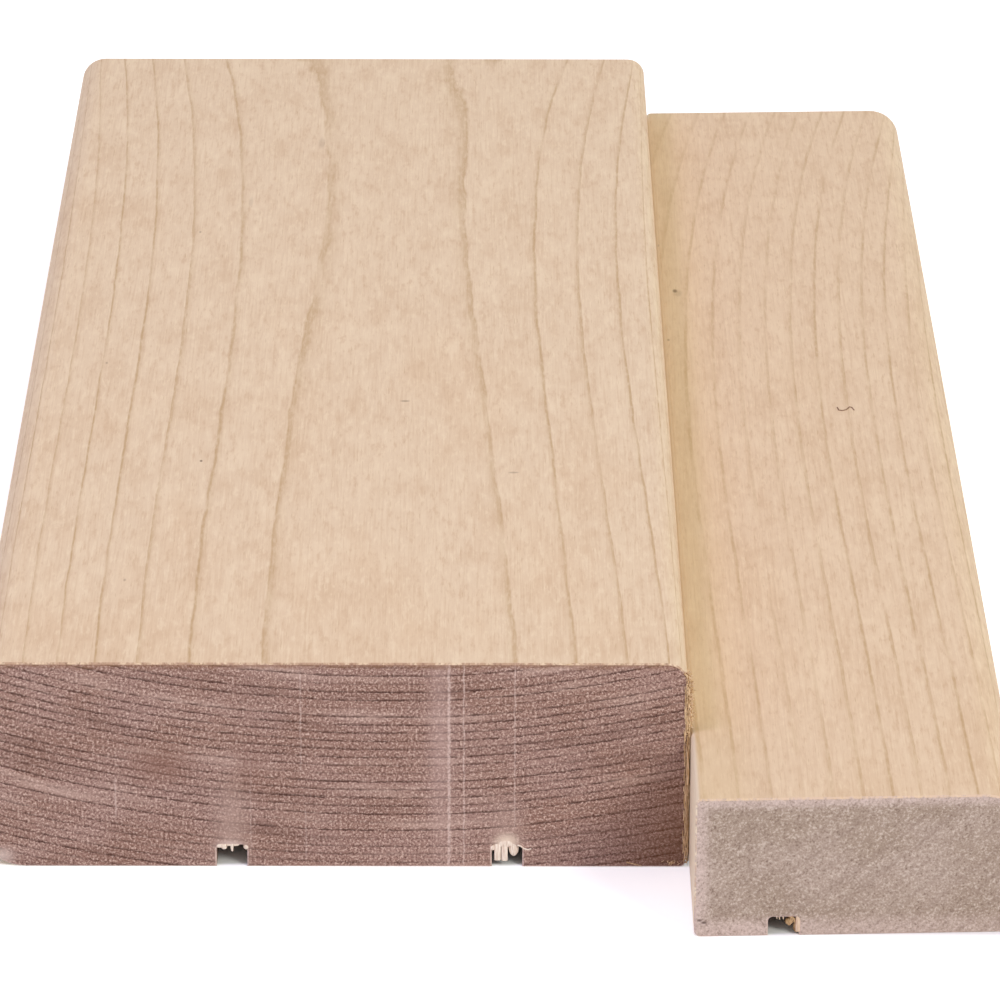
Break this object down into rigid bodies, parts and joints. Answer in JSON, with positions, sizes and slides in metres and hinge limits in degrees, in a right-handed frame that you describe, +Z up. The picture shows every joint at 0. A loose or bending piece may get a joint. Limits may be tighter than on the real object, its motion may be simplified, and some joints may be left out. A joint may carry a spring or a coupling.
{
  "type": "door threshold",
  "caption": "Stepped wooden door threshold: a thick planed board with a thinner board laid against its side, rounded long edges and relief grooves along the undersides.",
  "frame": {"origin": "on the floor, under the middle of the pair's bounding box", "axes": "+X from the high board to the low board, +Y along the boards, +Z up"},
  "size_m": [0.1386, 0.2738, 0.03],
  "materials": {
    "high_board_wood": "planed, unfinished, satin",
    "low_board_wood": "planed, unfinished, satin"
  },
  "bodies": {
    "root": {"high_board": "high_board_wood", "low_board": "low_board_wood"}
  },
  "joints": []
}
